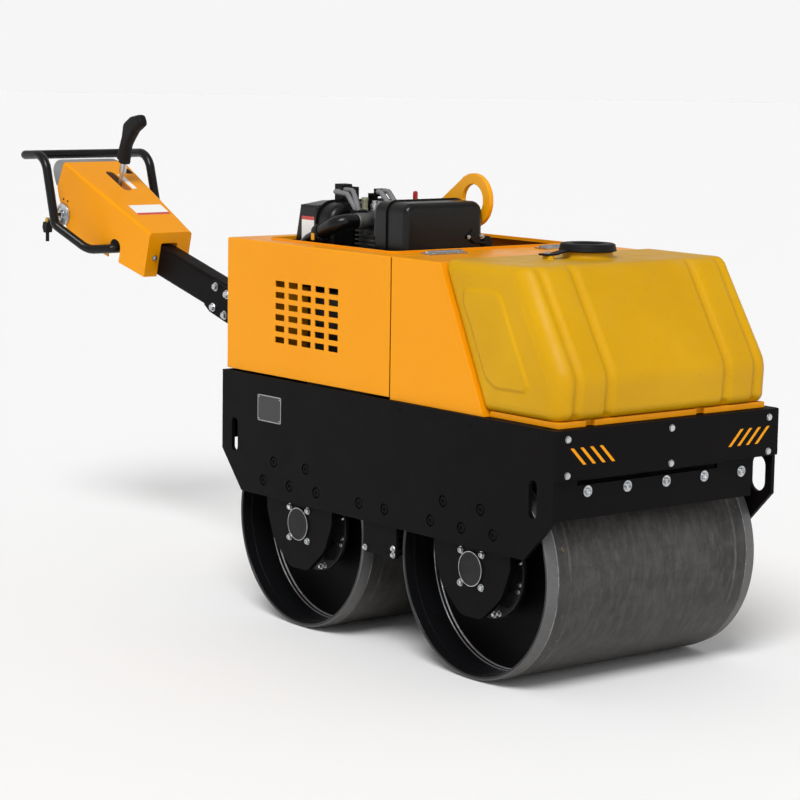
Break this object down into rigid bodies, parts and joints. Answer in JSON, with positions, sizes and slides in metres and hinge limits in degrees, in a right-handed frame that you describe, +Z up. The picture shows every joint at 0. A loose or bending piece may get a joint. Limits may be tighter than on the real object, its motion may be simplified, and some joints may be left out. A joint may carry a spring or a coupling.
{
  "type": "walk-behind double-drum vibratory roller",
  "caption": "Walk-behind vibratory roller with two smooth steel drums under a plate frame, a hinged engine hood, a front water tank and a rear handle with a hoop grip.",
  "frame": {"origin": "on the ground, midway between the two drum axles, on the machine's centre plane", "axes": "+X forward, towards the water tank; +Y to the machine's left; +Z up"},
  "size_m": [2.3751, 0.64, 1.1304],
  "materials": {
    "hood_orange": "gloss powder coat",
    "frame_black": "satin powder coat",
    "tank_yellow": "rotomoulded, faintly grained",
    "bracket_yellow": "gloss paint",
    "drum_steel": "rolled, mottled, light wear",
    "cast_steel": "painted casting",
    "black_gloss": "gloss",
    "black_plastic": "fine grain",
    "zinc": "bright zinc plate",
    "grey_plastic": "moulded, dull",
    "red_plastic": "moulded",
    "alloy": "as cast"
  },
  "bodies": {
    "chassis": {"side_plate_right": "frame_black", "side_plate_left": "frame_black", "front_face_plate": "frame_black", "front_cross_plate": "frame_black", "rear_cross_plate": "frame_black", "engine_bed": "frame_black", "front_hanger_right": "frame_black", "front_hanger_left": "frame_black", "rear_hanger_right": "frame_black", "rear_hanger_left": "frame_black", "front_bearing_carrier_right": "cast_steel", "front_bearing_carrier_left": "cast_steel", "rear_bearing_carrier_right": "cast_steel", "rear_bearing_carrier_left": "cast_steel", "scraper_holder_right": "frame_black", "scraper_holder_left": "frame_black", "front_scraper": "frame_black", "rear_scraper": "frame_black", "front_cowl": "hood_orange", "cowl_hinge_right": "zinc", "cowl_hinge_left": "zinc", "water_tank": "tank_yellow", "filler_cap": "black_plastic", "tank_shelf": "hood_orange", "engine_block": "alloy", "fuel_tank": "black_gloss", "fuel_tank_bracket": "frame_black", "muffler": "black_gloss", "relay_box": "black_plastic", "exhaust_pipe": "cast_steel", "lifting_eye": "bracket_yellow", "fuel_cock": "black_plastic", "cylinder_head": "alloy", "stop_lever": "red_plastic", "engine_bracket": "frame_black", "rear_conduits": "grey_plastic", "front_conduits": "grey_plastic", "handle_mount": "frame_black", "handle_pin": "zinc"},
    "front_drum": {"front_drum_shell": "drum_steel", "front_drum_web_right": "cast_steel", "front_drum_web_left": "cast_steel", "front_exciter": "cast_steel"},
    "rear_drum": {"rear_drum_shell": "drum_steel", "rear_drum_web_right": "cast_steel", "rear_drum_web_left": "cast_steel", "rear_exciter": "cast_steel"},
    "hood": {"engine_hood": "hood_orange", "hood_hinge_right": "zinc", "hood_hinge_left": "zinc"},
    "handle": {"arm_tube": "frame_black", "arm_fishplate_right": "frame_black", "arm_fishplate_left": "frame_black", "console_cover": "hood_orange", "console_back_panel": "grey_plastic", "throttle_dial": "zinc", "throttle_lever": "black_plastic", "handlebar": "frame_black", "travel_lever": "zinc", "lever_grip": "black_plastic"}
  },
  "joints": [
    {"name": "front_drum_roll", "type": "hinge", "parent": "chassis", "child": "front_drum", "pos_m": [0.306, 0, 0.24], "axis": [0, 1, 0], "continuous": true},
    {"name": "rear_drum_roll", "type": "hinge", "parent": "chassis", "child": "rear_drum", "pos_m": [-0.306, 0, 0.24], "axis": [0, 1, 0], "continuous": true},
    {"name": "hood_lift", "type": "hinge", "parent": "chassis", "child": "hood", "pos_m": [0.03, 0, 0.8813], "axis": [0, 1, 0], "range_deg": [0, 70]},
    {"name": "handle_lift", "type": "hinge", "parent": "chassis", "child": "handle", "pos_m": [-0.665, 0, 0.585], "axis": [0, 1, 0], "range_deg": [0, 60]}
  ]
}
